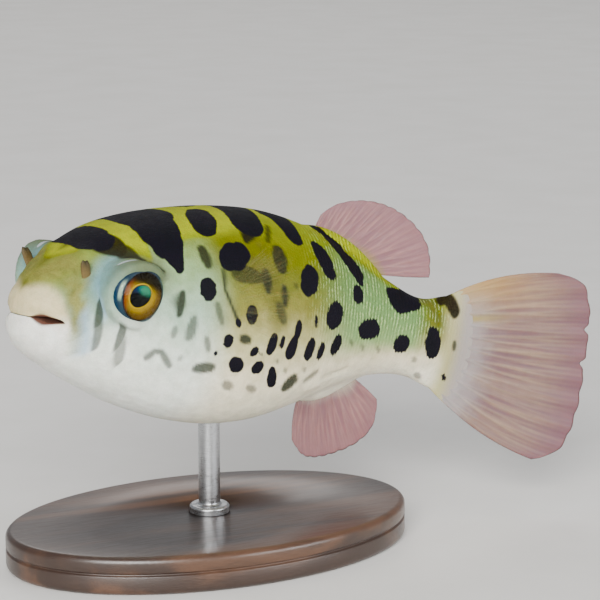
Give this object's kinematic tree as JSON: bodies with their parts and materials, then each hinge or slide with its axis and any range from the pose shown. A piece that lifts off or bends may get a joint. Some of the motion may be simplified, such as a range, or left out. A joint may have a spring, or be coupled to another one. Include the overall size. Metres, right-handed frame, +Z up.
{
  "type": "freshwater pufferfish model",
  "caption": "Still, life-size model of a swimming freshwater pufferfish, bent a little to its left, on a plain oval stand with a rod.",
  "frame": {"origin": "middle of the underside of the stand's oval base, which is also below the point of the spine that the rod holds", "axes": "+Z up, the fish faces -X and its left side faces -Y"},
  "size_m": [0.1195, 0.05, 0.0644],
  "materials": {
    "skin_pale": "smooth wet skin, pale face and belly",
    "skin_flank": "smooth wet skin, yellow-green with black spots",
    "fin": "thin translucent skin over fine rays",
    "eye": "clear and glossy over a golden iris",
    "wood": "dark stained, satin varnish",
    "steel": "fine brushed"
  },
  "bodies": {
    "root": {"snout": "skin_pale", "head": "skin_pale", "trunk": "skin_flank", "tail": "skin_flank", "fin_back": "fin", "fin_belly": "fin", "fin_tail": "fin", "fin_left": "fin", "fin_right": "fin", "eye_left": "eye", "eye_right": "eye", "nostril_left": "skin_flank", "nostril_right": "skin_flank", "stand_base": "wood", "stand_rod": "steel"}
  },
  "joints": []
}
